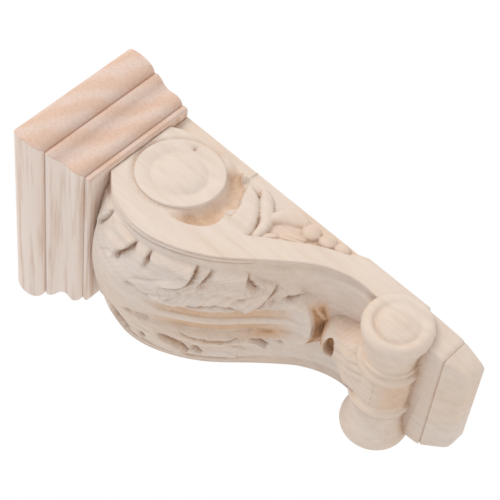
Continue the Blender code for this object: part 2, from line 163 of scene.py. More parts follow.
# Creases where one lobe ends over the next: points (across, along), fall below, lift above, facing
CREASES = (
    (((17.0, 7.6), (20.0, 9.4), (24.0, 11.5), (29.0, 13.2), (34.5, 13.7)), 1.9, 0.9, 1),
    (((13.0, 22.4), (18.0, 24.6), (21.5, 25.6), (24.0, 27.6), (27.0, 29.4), (30.0, 30.8), (34.5, 31.9)),
     2.3, 1.4, 1),
    (((20.0, 36.6), (26.0, 37.6), (28.5, 38.0), (34.5, 39.0)), 1.6, 0.8, 1),
    (((15.5, 42.5), (17.2, 46.5), (18.8, 49.7), (20.0, 52.7), (21.8, 55.0), (24.5, 56.4), (27.5, 57.3),
      (33.5, 58.3)), 2.6, 1.6, 1),
    (((18.5, 58.6), (22.5, 60.2), (26.5, 62.3), (29.0, 63.8), (32.5, 65.9)), 2.0, 1.0, 1),
    (((20.2, 86.0), (20.9, 82.0), (23.4, 79.4), (26.0, 78.3), (31.0, 79.8)), 2.0, 1.2, 1),
    (((10.4, 78.0), (12.0, 83.6), (15.8, 87.4), (19.3, 89.6), (23.0, 91.2)), 2.0, 1.2, 1),
    (((11.0, 95.4), (14.6, 96.8), (16.6, 99.4), (17.4, 103.0), (17.2, 108.0), (16.5, 114.0)), 2.2, 1.0, -1),
    (((8.6, 45.0), (9.6, 52.0), (11.8, 59.6), (13.5, 66.5), (13.0, 72.0), (11.0, 77.0)), 1.3, 0.8, 1),
)
# How far the lift and the fall reach from a crease, and the line cut along its foot
LIFT_REACH, FALL_REACH = 5.0, 3.2
CREASE_AT, CREASE_HALF, CREASE_DEPTH = 0.5, 0.6, 0.8
# Hollows cut in the lobes: points, half width, depth; a depth below zero raises a rolled edge
HOLLOWS = (
    (((9.6, 32.6), (9.9, 35.0), (9.2, 37.6), (8.8, 40.5)), 1.2, 2.4),
    (((12.0, 17.0), (15.5, 20.0), (18.0, 23.0)), 1.0, 0.8),
    (((15.6, 35.5), (17.6, 40.5), (20.2, 46.0)), 0.8, 1.1),
    (((21.0, 43.0), (22.6, 48.0), (24.4, 53.0)), 1.6, 1.0),
    (((25.2, 18.0), (26.5, 22.0), (27.6, 26.0)), 1.6, 0.8),
    (((10.6, 48.6), (12.8, 51.4)), 0.7, 0.9),
    (((20.5, 61.0), (22.4, 67.0), (22.8, 75.0)), 1.5, 1.0),
    (((16.0, 56.0), (18.0, 63.0), (17.6, 72.0), (15.6, 80.0)), 1.0, 0.9),
    (((9.0, 87.0), (9.2, 94.0), (9.0, 99.0), (7.6, 103.0)), 0.9, 1.5),
    (((13.0, 89.0), (14.8, 92.5), (14.8, 96.0)), 1.3, 1.1),
    (((10.5, 41.0), (12.4, 47.0), (15.6, 53.0)), 0.8, 0.8),
    (((15.0, 74.0), (17.2, 79.0), (18.4, 84.0)), 0.8, 0.9),
    (((28.2, 40.0), (28.4, 48.0), (27.6, 55.5)), 1.9, -1.0),
    (((27.0, 66.0), (27.2, 72.0), (26.8, 77.5)), 1.6, -0.9),
)
# Drilled notches along the creases: across, along
PITS = (
    (30.0, 12.4), (18.4, 25.4), (22.0, 26.6), (28.0, 30.6), (32.4, 31.9), (27.0, 38.4), (31.8, 38.9),
    (29.8, 64.6), (23.6, 80.0), (15.8, 97.4),
)
PIT_RADIUS, PIT_DEPTH = 1.1, 1.6
# Channel with the midrib: along, half width, depth, half width of the rib, height of the rib over the floor
CHANNEL = (
    (31.0, 9.8, 0.0, 7.0, 0.0), (36.0, 9.4, 1.6, 4.8, 1.6), (46.0, 8.8, 2.6, 2.6, 1.8),
    (55.0, 8.8, 3.3, 1.9, 1.7), (70.0, 9.6, 3.6, 1.8, 1.6), (82.0, 9.6, 3.4, 1.9, 1.6),
    (96.0, 8.8, 2.8, 2.3, 1.5), (103.0, 7.0, 1.6, 3.0, 1.2), (107.0, 5.0, 0.0, 4.0, 0.0),
)
# Veins on the lower lobes
VEIN_PITCH, VEIN_DEPTH = 2.7, 0.42
# Patches of comb marks left by the cutter, across and along, and the pitch of the marks
COMB_PATCHES = ((20.8, 63.0), (21.6, 82.0), (14.0, 49.0), (17.0, 92.0))
COMB_PITCH = 0.95
# Brown patch beside the flute on the -X side
STAIN_ACROSS, STAIN_ALONG = 8.4, 90.0
# Stored on the mesh: how brown the wood is drawn, from raw cut wood and the stain and from painted shade in
# the recesses and under the lip, how strong its comb marks are, and their phase in mm
FINISH = ("brown_and_shade", "comb", "phase")
# Lip of the leaf: its end on the middle line, how far the end draws back, half width, rise
LIP_MIDDLE, LIP_SWEEP, LIP_HALF, LIP_RISE = 109.0, 8.0, 20.5, 2.3
# Length of the wall under the lip, how much it gains at one place across, that place and its half width
LIP_WALL, LIP_WALL_WIDE, LIP_WALL_AT, LIP_WALL_HALF = 5.5, 6.0, 8.5, 4.5
# Curled knob under the lip, flowing into the belt of the roll: along the curve, half width, rise
TONGUE = (
    (114.2, 4.4, 4.0), (115.2, 6.4, 9.6), (117.5, 8.6, 11.2), (120.5, 9.6, 11.6), (125.5, 10.4, 11.2),
    (130.0, 12.5, 12.0), (136.0, 15.5, 14.0),
)
# Folds that slant over the knob, and the scoop cut in its top
FOLDS_START, FOLD_PITCH, FOLD_DEPTH = 122.5, 4.4, 0.7
SCOOP_ALONG, SCOOP_HALF_WIDTH, SCOOP_HALF_LENGTH, SCOOP_DEPTH = 121.4, 6.2, 3.4, 5.0

# Roll: radius and distance from the middle, from an end's centre over the barrel to the belt
ROLL_Y, ROLL_Z = -15.2, -66.3
ROLL_END = (
    (0.0, 39.4), (3.4, 39.2), (6.0, 38.4), (9.0, 38.1), (11.0, 38.1), (13.0, 37.8), (14.4, 36.6),
    (14.9, 34.8),
)
ROLL_BARREL = (
    (14.9, 34.8), (14.7, 32.4), (13.9, 30.4), (12.9, 27.4), (11.9, 23.5), (11.4, 20.0), (11.5, 17.4),
)
ROLL_BELT = (
    (11.5, 17.4), (12.3, 16.9), (12.7, 16.0), (12.2, 15.2), (11.9, 14.2), (12.8, 13.3), (13.7, 12.0),
    (13.5, 10.6), (12.5, 9.6), (12.1, 8.4), (12.2, 4.0), (12.3, 0.0),
)
# How much the belt spreads sideways on its upper side, where the knob runs into it
BELT_FLARE = 0.22
# Where comb marks lie round the belt, in radians from the wall side
BELT_MARKS, BELT_MARKS_SPREAD = 4.1, 0.55
# The spiral is cut in the ends only, past this distance from the middle
SPIRAL_FROM = 36.0
SPIRAL_RADIUS, SPIRAL_DEPTH = 9.3, 1.6

# Neck and foot: height, half width, y of the front
FOOT_LEVELS = (
    (-58.0, 34.2, -12.0), (-76.0, 33.4, -13.4), (-86.4, 32.4, -13.6), (-88.0, 31.9, -13.6),
    (-88.6, 30.9, -12.8), (-89.2, 31.4, -13.4), (-95.6, 28.4, -10.9), (-98.4, 26.8, -9.8),
    (-99.5, 25.7, -9.1), (BOTTOM, 24.4, -8.0),
)
FOOT_CHAMFER = 1.6

# Camera, fitted to the photograph
CAMERA_PLACE = (618.5, -383.6, -263.1)
CAMERA_AIM = (-0.79865, 0.48310, 0.35885)
CAMERA_UP = (0.5960, 0.5524, 0.58275)
CAMERA_LENS, CAMERA_SENSOR, CAMERA_CLIP = 131.45, 36.0, 0.01

# Floor, in metres
FLOOR_Z, FLOOR_HALF = -0.62, 4.0
FLOOR_COLOUR = (0.86, 0.86, 0.86)

# Light: the surroundings are white behind the corbel and dimmer in front of it
BRIGHT_SIDE = (-0.7, 0.6, 0.5)
DIM_FROM, BRIGHT_FROM = -0.6, 0.5
DIM_COLOUR = (0.82, 0.88, 0.99, 1.0)
BRIGHT_COLOUR = (1.0, 1.0, 1.0, 1.0)
KEY_SIDE = (0.85, -0.12, 0.60)
KEY_POWER, KEY_SIZE, KEY_DISTANCE = 4.7, 0.45, 1.2
KEY_COLOUR = (1.0, 0.90, 0.76)

# Woods: stops of the colour ramps, the brown of cut wood and painted shade, and the dark colour of the
# stain and of painted shade deep in the carving
WHITE = (1.0, 1.0, 1.0)
GRAIN_RAMP = ((0.25, (0.69, 0.58, 0.49)), (0.5, (0.74, 0.64, 0.56)), (0.75, (0.77, 0.68, 0.60)))
PATCH_RAMP = ((0.38, (1.0, 0.95, 0.885)), (0.6, WHITE))
COMB_RAMP = ((0.8, (0.90, 0.84, 0.78)), (1.0, WHITE))
# The brown tint stands for cut wood and painted shade, the dark colour below for the stain and painted
# shade
BROWN_AND_SHADE_TINT = (0.95, 0.73, 0.52, 1.0)
STAIN_AND_SHADE_COLOUR = (0.40, 0.22, 0.11, 1.0)
CLOUD_RAMP = ((0.3, (0.80, 0.61, 0.48)), (0.5, (0.82, 0.67, 0.56)), (0.7, (0.82, 0.70, 0.61)))
STREAK_RAMP = ((0.34, (0.80, 0.70, 0.62)), (0.52, WHITE))
RING_RAMP = ((0.1, (0.69, 0.53, 0.44)), (0.5, (0.69, 0.50, 0.40)), (0.9, (0.67, 0.47, 0.36)))
PORE_RAMP = ((0.4, (0.90, 0.86, 0.82)), (0.55, WHITE))
# Painted shade where the cap is enclosed, as at its mouldings and next to the scroll
CAP_SHADE_COLOUR = (0.42, 0.22, 0.12, 1.0)

# How finely the meshes are cut
STATIONS = 280
FRONT_COLUMNS, RIM_COLUMNS = 58, 16
BAND_ROWS, PANEL_ROWS = 12, 55
ROLL_STEPS = 120
# Edges that turn by more than this many degrees stay sharp
SHARP_SCROLL, SHARP_CAP = 42.0, 30.0
# Rays that find how enclosed a place is, for the painted shade, their reach and their start off the
# surface, in metres
RAYS = 24
HOLLOW_REACH, HOLLOW_START = 0.007, 0.00025


def step(value, low, high):
    """Smooth change from 0 at low to 1 at high, whichever of them is the greater."""
    t = np.clip((value - low) / (high - low), 0.0, 1.0)
    return t * t * (3.0 - 2.0 * t)


def table(value, rows, column=1):
    """Reads a column of a short table, along its first column."""
    return np.interp(value, [row[0] for row in rows], [row[column] for row in rows])


def ridge(gap, half, height):
    """Rounded ridge, or a groove where the height is below zero, at a distance from its middle."""
    return height * np.exp(-((gap / half) ** 2))


def spline(points, per_span):
    """Catmull-Rom curve through the points."""
    p = np.array(points, float)
    p = np.vstack([2 * p[0] - p[1], p, 2 * p[-1] - p[-2]])
    t = np.linspace(0.0, 1.0, per_span, endpoint=False)[:, None]
    spans = []
    for i in range(1, len(p) - 2):
        b = (p[i + 1] - p[i - 1]) * t
        c = (2 * p[i - 1] - 5 * p[i] + 4 * p[i + 1] - p[i + 2]) * t * t
        d = (3 * p[i] - p[i - 1] - 3 * p[i + 1] + p[i + 2]) * t ** 3
        spans.append((2 * p[i] + b + c + d) / 2)
    return np.vstack(spans + [p[-2:-1]])


def even_curve(points, count):
    """The curve read at equal lengths, with the length reached at each point."""
    fine = spline(points, 40)
    length = np.concatenate([[0.0], np.cumsum(np.hypot(*np.diff(fine, axis=0).T))])
    along = np.linspace(0.0, length[-1], count)
    return along, np.stack([np.interp(along, length, fine[:, k]) for k in (0, 1)], axis=1)


def outward(curve):
    """Unit normals of the front curve, pointing out of the wood."""
    tangent = np.gradient(curve, axis=0)
    tangent /= np.hypot(tangent[:, 0], tangent[:, 1])[:, None]
    return np.stack([tangent[:, 1], -tangent[:, 0]], axis=1)


def half_width(z):
    """Half the width of the scroll, which tapers towards the foot."""
    return SCROLL_HALF_WIDTH - SIDE_TAPER * (SCROLL_TOP - z)


def line_distance(u, v, points):
    """Distance to a smooth line, on which side of it each place lies, and how far along it."""
    line = spline(points, 4)
    best = np.full(np.shape(u), 1e9)
    side = np.zeros(np.shape(u))
    along = np.zeros(np.shape(u))
    for i, ((u0, v0), (u1, v1)) in enumerate(zip(line, line[1:])):
        du, dv = u1 - u0, v1 - v0
        t = np.clip(((u - u0) * du + (v - v0) * dv) / (du * du + dv * dv), 0.0, 1.0)
        gap = np.hypot(u - u0 - t * du, v - v0 - t * dv)
        turn = du * (v - v0) - dv * (u - u0)
        side = np.where(gap < best, turn, side)
        along = np.where(gap < best, (i + t) / (len(line) - 1), along)
        best = np.minimum(best, gap)
    return best, np.sign(side), along


def petal(u, v, centre_line):
    """Crown of one bent petal, from 0 at its outline to 1 along its centre line."""
    crown = np.zeros(np.shape(u))
    for x, y, width in spline(centre_line, 12):
        gap = (u - x) ** 2 + (v - y) ** 2
        crown = np.maximum(crown, 1.0 - gap / width ** 2)
    return np.sqrt(np.clip(crown, 0.0, 1.0))


def rim_relief(edge, s):
    """Moulding along the front's edge: a groove, then a bead and a line that give way to a cove."""
    groove, bead, line = (
        ridge(edge - at, half, height) for at, half, height in (RIM_GROOVE, RIM_BEAD, RIM_LINE)
    )
    cove = -COVE_DEPTH * np.sin(np.pi * np.clip((edge - COVE_START) / COVE_WIDTH, 0.0, 1.0))
    low = step(s, COVE_FROM, COVE_FULL)
    return groove + (bead + line) * (1 - low) + cove * low


def lobe_edges(a, s):
    """Steps where each lobe of the leaf ends over the next one."""
    height = np.zeros(np.shape(a))
    for points, fall, lift, facing in CREASES:
        gap, side, along = line_distance(a, s, points)
        across = gap * side * facing
        below = step(across, -0.7, 0.5)
        strength = step(along, 0.0, 0.3)
        upper = lift * np.exp(-gap / LIFT_REACH)
        lower = ridge(across - CREASE_AT, CREASE_HALF, -CREASE_DEPTH) - fall * np.exp(-gap / FALL_REACH)
        height += strength * (upper * (1.0 - below) + lower * below)
    return height


def channel(a, s):
    """The channel down the middle of the leaf and the midrib that stands in it."""
    half, depth, rib_half, rib = (table(s, CHANNEL, k) for k in (1, 2, 3, 4))
    crest = np.sqrt(np.clip(1.0 - (a / rib_half) ** 2, 0.0, 1.0))
    bead = ridge(a - half - 1.0, 0.8, 0.25 * depth)
    return rib * crest + bead - depth * step(a, half + 0.3, half - 1.7)


def flow(a, s):
    """A number that changes across the veins of the leaf and stays the same along them."""
    return 0.83 * a - 0.55 * s + 1.6 * np.sin(a / 4.0) + 1.3 * np.sin(s / 6.0)


def leaf_relief(a, s):
    """The acanthus leaf above the field, with its lobes, hollows and veins."""
    edge = table(s, LEAF_EDGE)
    within = step(edge - a, -0.2, 0.9)
    crown = np.clip(1.0 - (a / edge) ** 2, 0.0, 1.0)
    height = LEAF_STEP * within + (table(s, CROWN) - LEAF_STEP) * crown
    height += within * lobe_edges(a, s) + channel(a, s)
    for points, half, depth in HOLLOWS:
        height -= ridge(line_distance(a, s, points)[0], half, depth) * within
    for across, at in PITS:
        height -= ridge(np.hypot(a - across, s - at), PIT_RADIUS, PIT_DEPTH) * within
    wave = np.cos(np.pi * flow(a, s) / VEIN_PITCH) ** 2
    height -= VEIN_DEPTH * wave ** 3 * step(a, 8.0, 11.0) * step(s, 44.0, 58.0) * within
    return height


def lip_end(a):
    """Where along the curve the leaf's lip ends: it draws back from the middle to the sides."""
    return LIP_MIDDLE - LIP_SWEEP * (a / LIP_HALF) ** 2


def scoop_distance(a, s):
    """Distance from the middle of the scoop in the knob, 1 at its rim."""
    return np.hypot(a / SCOOP_HALF_WIDTH, (s - SCOOP_ALONG) / SCOOP_HALF_LENGTH)


def carving(x, s):
    """Height of the leaf and of the tongue under it over the field, at x across and s along the curve."""
    a = np.abs(x)
    lip_at = lip_end(a)
    lip_shape = np.clip(1.0 - (a / (LIP_HALF + 1.0)) ** 4, 0.0, 1.0)
    lip = LIP_RISE * step(s, lip_at - 13.0, lip_at - 1.5) * lip_shape
    wall = LIP_WALL + ridge(a - LIP_WALL_AT, LIP_WALL_HALF, LIP_WALL_WIDE)
    wall = 1.0 + (wall - 1.0) * step(a, 18.5, 14.0)
    under = np.clip(1.0 - (s - lip_at) / wall, 0.0, 1.0)
    under *= 1.0 - 0.12 * step(s, lip_at, lip_at + 0.6)
    leaf = (leaf_relief(a, np.minimum(s, lip_at)) + lip) * under
    rise = table(s, TONGUE, 2) * (s > TONGUE[0][0])
    tongue = rise * np.clip(1.0 - (a / table(s, TONGUE)) ** 4, 0.0, 1.0) ** 0.5
    folds = np.cos(np.pi * (a - 0.45 * (s - FOLDS_START)) / FOLD_PITCH) ** 6
    tongue -= FOLD_DEPTH * folds * step(s, FOLDS_START, FOLDS_START + 5.0)
    tongue -= SCOOP_DEPTH * step(scoop_distance(a, s), 1.12, 0.75)
    return np.maximum(leaf, tongue)


def front_relief(x, s, w):
    """Height of the front over its edge line."""
    edge = w - np.abs(x)
    field = FIELD_LEVEL * step(edge, RIM_WIDTH - 0.3, RIM_WIDTH + 0.3)
    inside = step(edge, RIM_WIDTH - 1.0, RIM_WIDTH + 0.3)
    return rim_relief(edge, s) + field + inside * carving(x, s)


def eye_place(r, turn):
    """The place on the side face at a radius and a turn round the eye."""
    along = EYE_LONG * r * np.cos(turn)
    across = EYE_SHORT * r * np.sin(turn)
    y = EYE_Y + along * math.cos(EYE_TURN) - across * math.sin(EYE_TURN)
    z = EYE_Z + along * math.sin(EYE_TURN) + across * math.cos(EYE_TURN)
    return y, z


def eye_distance(y, z):
    """The radius round the eye of a place on the side face."""
    along = (y - EYE_Y) * math.cos(EYE_TURN) + (z - EYE_Z) * math.sin(EYE_TURN)
    across = (z - EYE_Z) * math.cos(EYE_TURN) - (y - EYE_Y) * math.sin(EYE_TURN)
    return np.hypot(along / EYE_LONG, across / EYE_SHORT)


def crescent(y, z):
    """Depth of the crescent cut under the eye, and how far inside it each place lies."""
    ring = np.maximum(eye_distance(y, z) - EYE_RADIUS, 0.0)
    gap, side, along = line_distance(y, z, CRESCENT_EDGE)
    ends = step(along, 0.08, 0.22) * step(along, 0.98, 0.86)
    inside = step(gap * side, -0.5, 0.5) * (ends > 0.0)
    t = ring / (ring + gap + 0.01)
    wall = 0.1 + 0.7 * step(y, CRESCENT_SLOPED, CRESCENT_STEEP)
    share = 1.0 - np.where(t < 0.5, 0.6, 1.0 - wall) * (2.0 * t - 1.0) ** 2
    return CRESCENT_DEPTH * share * ends, inside


def side_relief(y, z, behind):
    """The side carving as an offset from the band's plane; behind is 1 past the band."""
    eye = eye_distance(y, z)
    low_panel = behind * step(z, PANEL_START + 1.0, PANEL_START - 1.0)
    back = step(y - table(z, VOLUTE_BACK), -0.3, 0.5) * step(z, 23.0, 24.0)
    under_eye = step(y, CRESCENT_SLOPED, CRESCENT_SLOPED + 3.0) * step(z, 24.5, 23.0) * behind
    panel = -PANEL_DEPTH * np.maximum(np.maximum(low_panel, back), under_eye)
    cut, inside = crescent(y, z)
    around = ridge(eye - EYE_RADIUS - 0.6, 1.0, -0.8)
    ground = np.minimum(panel, around)
    for centre_line, level, vein in SIDE_LEAVES:
        crown = petal(y, z, centre_line)
        ripple = vein * (0.5 + 0.5 * np.cos(2 * np.pi * (y + 0.5 * z) / SIDE_VEIN_PITCH))
        top = level - (PANEL_DEPTH + level) * (1.0 - crown) - ripple * crown
        ground = np.where(crown > 0.0, np.maximum(ground, top), ground)
    depth = ground + inside * (np.minimum(ground, -cut) - ground)
    for bud_y, bud_z, radius in BUDS:
        ball = np.clip(1.0 - ((y - bud_y) ** 2 + (z - bud_z) ** 2) / radius ** 2, 0.0, 1.0)
        depth = np.where(ball > 0, np.maximum(depth, -PANEL_DEPTH + BUD_RISE * np.sqrt(ball)), depth)
    return np.minimum(depth, EYE_WELL * step(eye, EYE_RADIUS - 1.6, EYE_RADIUS - 3.2))


def front_finish(x, s):
    """What the cutter left on the front and the stain, in the order of FINISH, with the brown also standing
    for painted shade under the lip and in the recesses.
    """
    a = np.abs(x)
    lip_at = lip_end(a)
    # The channel floor is browner: raw cut wood and painted shade of the recess
    floor = step(a, 7.8, 6.0) * step(a, 1.5, 2.4) * step(s, 38.0, 56.0) * step(s, 104.0, 86.0)
    # Painted shade on the underside of the lip, drawn dark brown
    under = step(s, lip_at + 0.2, lip_at + 1.6) * step(s, lip_at + 11.0 - 0.2 * a, lip_at + 6.0)
    under *= step(a, 16.0, 11.5) * (1.0 - ridge(s + 0.4 * a - lip_at - 8.0, 0.6, 0.35))
    stain = np.exp(-((s - STAIN_ALONG) / 8.0) ** 2 - ((a - STAIN_ACROSS) / 1.9) ** 2) * (x < 0.0)
    # The scoop in the knob is drawn brown: cut wood and painted shade
    scoop = step(scoop_distance(a, s), 1.1, 0.8)
    brown_and_shade = np.maximum(np.maximum(0.72 * floor, under), np.maximum(0.95 * stain, scoop))
    field = step(a - table(s, LEAF_EDGE), 0.0, 1.0) * step(a, 32.0, 30.0)
    field *= step(s, 79.0, 84.0) * step(s, 99.0, 94.0)
    patches = sum(np.exp(-(((a - u) / 2.6) ** 2 + ((s - v) / 2.8) ** 2)) for u, v in COMB_PATCHES)
    cut = np.maximum(np.maximum(0.45 * floor, 0.5 * field), np.clip(patches, 0.0, 0.8))
    veined = 0.3 * step(a, 8.0, 10.0) * step(table(s, LEAF_EDGE) - a, 0.0, 1.5)
    return brown_and_shade, np.maximum(cut, veined), np.where(cut > 0.12, s, 0.6 * flow(a, s))


def side_finish(y, z, behind):
    """The same for the side, where the comb marks slant up towards the wall."""
    cut, inside = crescent(y, z)
    deep = inside * cut / CRESCENT_DEPTH
    low = behind * step(z, 8.0, -8.0)
    # Brown in the crescent grows with the depth of the cut and towards the front, and low on the sunk
    # panel: partly raw cut wood, partly painted shade
    brown_and_shade = deep * (0.5 + 0.2 * step(y, CRESCENT_STEEP, CRESCENT_SLOPED - 1.0))
    comb = 0.8 * deep * step(y, CRESCENT_STEEP, CRESCENT_SLOPED)
    return np.maximum(brown_and_shade, 0.2 * low), np.maximum(comb, 0.2 * low), (y - z) / math.sqrt(2.0)


def scroll_grid():
    """Rings of points around the scroll, from under the cap down into the roll, and their finish."""
    along, curve = even_curve(FRONT_CURVE, STATIONS)
    normal = outward(curve)
    lean = step(along, 0.0, TOP_BLEND)[:, None]
    normal = normal * lean + np.array([[-1.0, 0.0]]) * (1 - lean)
    rings = []
    finish = []
    for s, point, out in zip(along, curve, normal):
        w = half_width(point[1])
        inner_edge = np.linspace(0.0, w - RIM_WIDTH - 0.8, FRONT_COLUMNS)
        rim = np.linspace(w - RIM_WIDTH - 0.8, w - EDGE_ROUND, RIM_COLUMNS)[1:]
        half = np.concatenate([inner_edge, rim])
        across = np.concatenate([-half[:0:-1], half])
        rise = front_relief(across, np.full(across.shape, s), w)
        front = np.stack([across, point[0] + rise * out[0], point[1] + rise * out[1]], axis=1)
        wide = BAND_WIDTH + (BAND_WIDTH_LOW - BAND_WIDTH) * step(s, 60.0, BAND_RUNS_OUT)
        inner = point - out * wide
        inner[0] = min(inner[0], 0.25 * point[0])
        back = np.array([0.0, SCROLL_TOP + (SCROLL_FOOT - SCROLL_TOP) * s / along[-1]])
        share = np.linspace(EDGE_ROUND / wide, 1.0, BAND_ROWS)[:, None]
        band = point + (inner - point) * share
        reach = back - inner
        first = BAND_STEP / max(np.hypot(*reach), 2.0)
        share = np.linspace(first, 1.0, PANEL_ROWS)[:, None]
        panel = inner + reach * share
        yz = np.vstack([band, panel])
        behind = np.concatenate([np.zeros(len(band)), np.ones(len(panel))])
        behind *= step(s, BAND_RUNS_OUT + 4.0, BAND_RUNS_OUT - 4.0)
        x = half_width(yz[:, 1]) + side_relief(yz[:, 0], yz[:, 1], behind)
        right = np.column_stack([x, yz])
        left = right[::-1] * (-1.0, 1.0, 1.0)
        rings.append(np.vstack([left, front, right]))
        side_marks = np.array(side_finish(yz[:, 0], yz[:, 1], behind))
        front_marks = np.array(front_finish(across, np.full(across.shape, s)))
        finish.append(np.concatenate([side_marks[:, ::-1], front_marks, side_marks], axis=1))
    return np.array(rings), np.array(finish)


def mesh_from_grid(name, rings, finish=None):
    """Closed mesh from rings of points, with both ends capped and the finish stored on its points."""
    rows, count = rings.shape[:2]
    ring = np.arange(count)
    after = (ring + 1) % count
    quad = np.stack([ring, after, after + count, ring + count], axis=1)
    faces = np.vstack([quad + k * count for k in range(rows - 1)]).tolist()
    faces.append(ring[::-1].tolist())
    faces.append((ring + (rows - 1) * count).tolist())
    mesh = bpy.data.meshes.new(name)
    mesh.from_pydata((rings.reshape(-1, 3) * MM).tolist(), [], faces)
    tidy = bmesh.new()
    tidy.from_mesh(mesh)
    bmesh.ops.recalc_face_normals(tidy, faces=tidy.faces)
    tidy.to_mesh(mesh)
    tidy.free()
    if finish is not None:
        for k, layer_name in enumerate(FINISH):
            layer = mesh.attributes.new(layer_name, "FLOAT", "POINT")
            layer.data.foreach_set("value", finish[:, k].ravel())
    return bpy.data.objects.new(name, mesh)


def roll_profile():
    """Radius and distance from the middle, from one end's centre to the other's."""
    half = np.vstack([spline(ROLL_END, 3)[:-1], spline(ROLL_BARREL, 4)[:-1], spline(ROLL_BELT, 4)])
    other = half[-2::-1] * (1.0, -1.0)
    return np.vstack([half, other])


def roll():
    """Small roll under the scroll: bulbs at its ends, a belt round its middle, a spiral cut in each end."""
    profile = roll_profile()[1:-1]
    turn = np.linspace(0.0, 2 * np.pi, ROLL_STEPS, endpoint=False)
    rings = []
    finish = []
    for r, x in profile:
        groove_at = SPIRAL_RADIUS - 0.9 * np.cos(turn - 0.4)
        deep = SPIRAL_DEPTH * np.exp(-((r - groove_at) / 1.2) ** 2) * (0.6 - 0.4 * np.cos(turn))
        out = x - np.sign(x) * deep * (abs(x) > SPIRAL_FROM)
        flare = BELT_FLARE * x * step(abs(x), 19.0, 12.0) * step(np.sin(turn), 0.1, 1.0)
        rings.append(np.stack([out + flare, ROLL_Y + r * np.cos(turn), ROLL_Z + r * np.sin(turn)], axis=1))
        belt = step(abs(x), 9.5, 7.5) * ridge(turn - BELT_MARKS, BELT_MARKS_SPREAD, 1.0)
        finish.append(np.array([0.4 * belt, 0.9 * belt, 0.7 * (r * turn + x)]))
    return mesh_from_grid("roll_tool", np.array(rings), np.array(finish))


def eye(side):
    """Ring and button at the middle of the big volute, on one side."""
    profile = np.vstack([spline(EYE_RINGS, 3), [(EYE_RADIUS, EYE_BASE)]])
    turn = np.linspace(0.0, 2 * np.pi, ROLL_STEPS, endpoint=False)
    rings = []
    for r, out in profile:
        y, z = eye_place(r, turn)
        away = np.hypot((y - EYE_CHIP_Y) / EYE_CHIP_LONG, (z - EYE_CHIP_Z) / EYE_CHIP_HIGH)
        chip = ridge(away, 1.0, EYE_CHIP_DEPTH) * (side > 0)
        rings.append(np.stack([side * (half_width(z) + out - chip), y, z], axis=1))
    return mesh_from_grid("eye_tool", np.array(rings))


def foot():
    """Neck and foot: a tapered block with a cut line round it."""
    rings = []
    c = FOOT_CHAMFER
    for z, half, front in FOOT_LEVELS:
        corner = [(half - c, front), (half - 0.3 * c, front + 0.3 * c), (half, front + c), (half, 0.0)]
        right = [(x, y, z) for x, y in corner]
        left = [(-x, y, z) for x, y in reversed(corner)]
        rings.append(right + left)
    return mesh_from_grid("foot_tool", np.array(rings))


def shade(mesh, degrees):
    """Smooth shading with the sharp edges kept."""
    mesh.shade_smooth()
    mesh.set_sharp_from_angle(angle=math.radians(degrees))


def carved_body():
    """The scroll, its roll, its eyes and its foot as one closed mesh."""
    body = mesh_from_grid("scroll_blank", *scroll_grid())
    bpy.context.scene.collection.objects.link(body)
    tools = [foot(), roll(), eye(1), eye(-1)]
    for tool in tools:
        bpy.context.scene.collection.objects.link(tool)
        union = body.modifiers.new(tool.name, "BOOLEAN")
        union.operation = "UNION"
        union.solver = "MANIFOLD"
        union.object = tool
    depsgraph = bpy.context.evaluated_depsgraph_get()
    mesh = bpy.data.meshes.new_from_object(body.evaluated_get(depsgraph))
    mesh.name = "carved_wood"
    for obj in tools + [body]:
        bpy.data.objects.remove(obj)
    carved = bpy.data.objects.new("carved_wood", mesh)
    bpy.context.scene.collection.objects.link(carved)
    shade(mesh, SHARP_SCROLL)
    return carved


def mark_hollows(pieces):
    """Stores how enclosed each vertex of the pieces is, from 0 in the open to 1 deep in the carving, which
    the materials darken as painted shade.
    """
    depsgraph = bpy.context.evaluated_depsgraph_get()
    trees = [BVHTree.FromObject(obj, depsgraph) for obj in pieces]
    golden = math.pi * (3.0 - math.sqrt(5.0))
    rays = []
    for i in range(RAYS):
        up = (i + 0.5) / RAYS
        flat = math.sqrt(1.0 - up * up)
        rays.append((math.cos(i * golden) * flat, math.sin(i * golden) * flat, up))
    for mesh in (obj.data for obj in pieces):
        values = np.zeros(len(mesh.vertices))
        for vertex in mesh.vertices:
            normal = vertex.normal
            turn = normal.to_track_quat("Z", "Y").to_matrix()
            start = vertex.co + normal * HOLLOW_START
            aims = [turn @ Vector(ray) for ray in rays]
            hits = sum(any(tree.ray_cast(start, aim, HOLLOW_REACH)[0] for tree in trees) for aim in aims)
            values[vertex.index] = hits / RAYS
        layer = mesh.attributes.new("hollow", "FLOAT", "POINT")
        layer.data.foreach_set("value", values)


def cap():
    """Moulded block, mitred at its front corners and flat behind and on top."""
    outline = np.vstack([spline(run, 4)[:-1] for run in CAP_RUNS] + [CAP_RUNS[-1][-1:]])
    rings = []
    for inset, drop in outline:
        x = CAP_HALF_WIDTH - inset
        y = -(CAP_DEPTH - inset)
        z = TOP - drop
        front = [(t, y, z) for t in np.linspace(-x + CAP_CORNER, x - CAP_CORNER, CAP_FRONT_POINTS)]
        side = [(x, t, z) for t in np.linspace(y + CAP_CORNER, 0.0, CAP_END_POINTS)]
        other = [(-a, b, c) for a, b, c in reversed(side)]
        rings.append(other + front + side)
    block = mesh_from_grid("cap_block", np.array(rings))
    bpy.context.scene.collection.objects.link(block)
    shade(block.data, SHARP_CAP)
    return block


